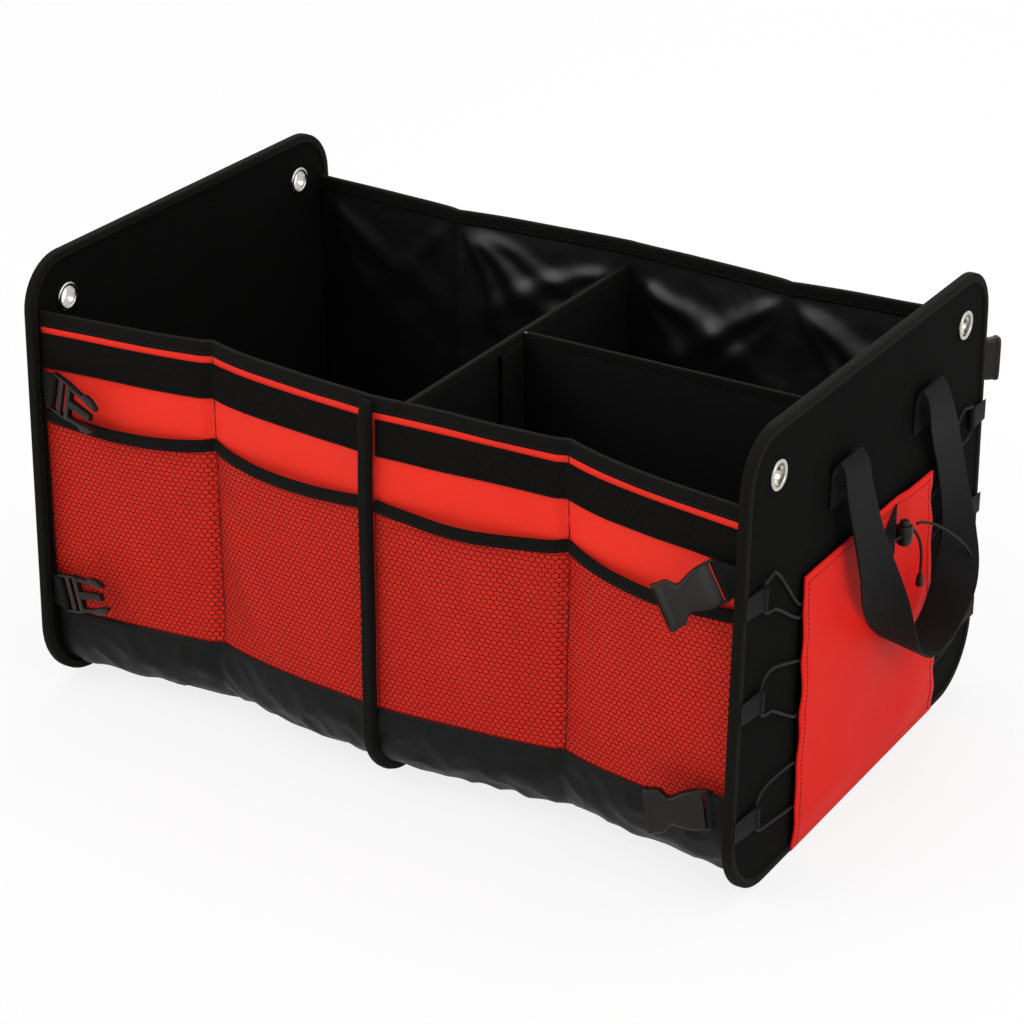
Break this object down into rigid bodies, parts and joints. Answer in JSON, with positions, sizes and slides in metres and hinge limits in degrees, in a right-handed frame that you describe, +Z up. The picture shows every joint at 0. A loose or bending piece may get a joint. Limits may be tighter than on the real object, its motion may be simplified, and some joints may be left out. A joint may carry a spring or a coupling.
{
  "type": "trunk organizer",
  "caption": "Open-topped folding trunk box with stiff end panels, cloth walls, net pockets, inner dividers, webbing handles, side-release buckles and a laced vinyl sheet on its end.",
  "frame": {"origin": "on the floor, under the middle of the box", "axes": "+X along the front to the right, towards the end with the laced sheet; +Y to the rear; +Z up"},
  "size_m": [0.6528, 0.4267, 0.336],
  "materials": {
    "felt": "dense matt felt",
    "binding_tape": "matt woven tape",
    "red_twill": "satin woven polyester",
    "pocket_net": "open knitted net",
    "black_nylon": "crinkled satin woven nylon",
    "satin_lining": "smooth coated lining with a sheen",
    "webbing": "ribbed woven webbing",
    "buckle_plastic": "satin moulded",
    "red_vinyl": "smooth satin vinyl",
    "nickel": "polished plate",
    "spring_steel": "drawn wire",
    "elastic_cord": "round braided elastic"
  },
  "bodies": {
    "organizer": {"left_end_panel": "felt", "left_panel_binding": "binding_tape", "eyelet_front_left": "nickel", "eyelet_rear_left": "nickel", "right_end_panel": "felt", "right_panel_binding": "binding_tape", "eyelet_front_right": "nickel", "eyelet_rear_right": "nickel", "front_wall": "red_twill", "rear_wall": "black_nylon", "front_lining": "satin_lining", "front_rim_binding": "binding_tape", "rear_lining": "satin_lining", "rear_rim_binding": "binding_tape", "base_cloth": "black_nylon", "base_board_left": "satin_lining", "base_board_right": "satin_lining", "centre_divider": "satin_lining", "centre_seam_binding": "binding_tape", "hook_tape_left": "webbing", "net_pocket_left": "pocket_net", "pocket_binding_left": "binding_tape", "hook_tape_right": "webbing", "net_pocket_right": "pocket_net", "pocket_binding_right": "binding_tape", "long_divider": "satin_lining", "divider_flap_inner": "webbing", "divider_flap_outer": "webbing", "right_handle": "webbing", "left_handle": "webbing", "laced_sheet": "red_vinyl", "cord_patch": "webbing", "lace_loop_front_1": "webbing", "lace_loop_front_2": "webbing", "lace_loop_front_3": "webbing", "lace_loop_rear_1": "webbing", "lace_loop_rear_2": "webbing", "lace_loop_rear_3": "webbing", "cord_lock_barrel": "buckle_plastic", "cord_lock_spring": "spring_steel", "lace_cord": "elastic_cord", "cord_end": "buckle_plastic", "buckle_tab_front_upper_right": "webbing", "buckle_tab_front_lower_right": "webbing", "buckle_tab_front_upper_left": "webbing", "buckle_tab_front_lower_left": "webbing", "buckle_tab_rear_upper_right": "webbing", "buckle_tab_rear_lower_right": "webbing", "buckle_tab_rear_upper_left": "webbing", "buckle_tab_rear_lower_left": "webbing"},
    "front_upper_right_socket": {"buckle_socket_front_upper_right": "buckle_plastic"},
    "front_lower_right_socket": {"buckle_socket_front_lower_right": "buckle_plastic"},
    "front_upper_left_plug": {"buckle_plug_front_upper_left": "buckle_plastic"},
    "front_lower_left_plug": {"buckle_plug_front_lower_left": "buckle_plastic"},
    "rear_upper_right_socket": {"buckle_socket_rear_upper_right": "buckle_plastic"},
    "rear_lower_right_socket": {"buckle_socket_rear_lower_right": "buckle_plastic"},
    "rear_upper_left_plug": {"buckle_plug_rear_upper_left": "buckle_plastic"},
    "rear_lower_left_plug": {"buckle_plug_rear_lower_left": "buckle_plastic"},
    "lock_plunger": {"cord_lock_plunger": "buckle_plastic"}
  },
  "joints": [
    {"name": "front_upper_right_swing", "type": "hinge", "parent": "organizer", "child": "front_upper_right_socket", "pos_m": [0.27, -0.1788, 0.238], "axis": [-0.4695, 0, 0.8829], "range_deg": [-26, 34]},
    {"name": "front_lower_right_swing", "type": "hinge", "parent": "organizer", "child": "front_lower_right_socket", "pos_m": [0.27, -0.18473, 0.072], "axis": [-0.1564, 0, 0.9877], "range_deg": [-17, 80]},
    {"name": "front_upper_left_swing", "type": "hinge", "parent": "organizer", "child": "front_upper_left_plug", "pos_m": [-0.27, -0.17862, 0.243], "axis": [-0.2079, 0, -0.9781], "range_deg": [-10, 86]},
    {"name": "front_lower_left_swing", "type": "hinge", "parent": "organizer", "child": "front_lower_left_plug", "pos_m": [-0.27, -0.18434, 0.083], "axis": [0.225, 0, -0.9744], "range_deg": [-7, 90]},
    {"name": "rear_upper_right_swing", "type": "hinge", "parent": "organizer", "child": "rear_upper_right_socket", "pos_m": [0.258, 0.17837, 0.25], "axis": [0, 0, -1], "range_deg": [-126, 0]},
    {"name": "rear_lower_right_swing", "type": "hinge", "parent": "organizer", "child": "rear_lower_right_socket", "pos_m": [0.27, 0.18451, 0.078], "axis": [0.2924, 0, -0.9563], "range_deg": [-21, 76]},
    {"name": "rear_upper_left_swing", "type": "hinge", "parent": "organizer", "child": "rear_upper_left_plug", "pos_m": [-0.27, 0.1788, 0.238], "axis": [0.309, 0, 0.9511], "range_deg": [-10, 86]},
    {"name": "rear_lower_left_swing", "type": "hinge", "parent": "organizer", "child": "rear_lower_left_plug", "pos_m": [-0.27, 0.18451, 0.078], "axis": [-0.0349, 0, 0.9994], "range_deg": [-7, 90]},
    {"name": "cord_lock_press", "type": "slide", "parent": "organizer", "child": "lock_plunger", "axis": [0, 0, 1], "range_m": [-0.0025, 0], "stiffness_N_per_m": 400, "springref_m": 0.002, "deforming": ["cord_lock_spring"]}
  ]
}
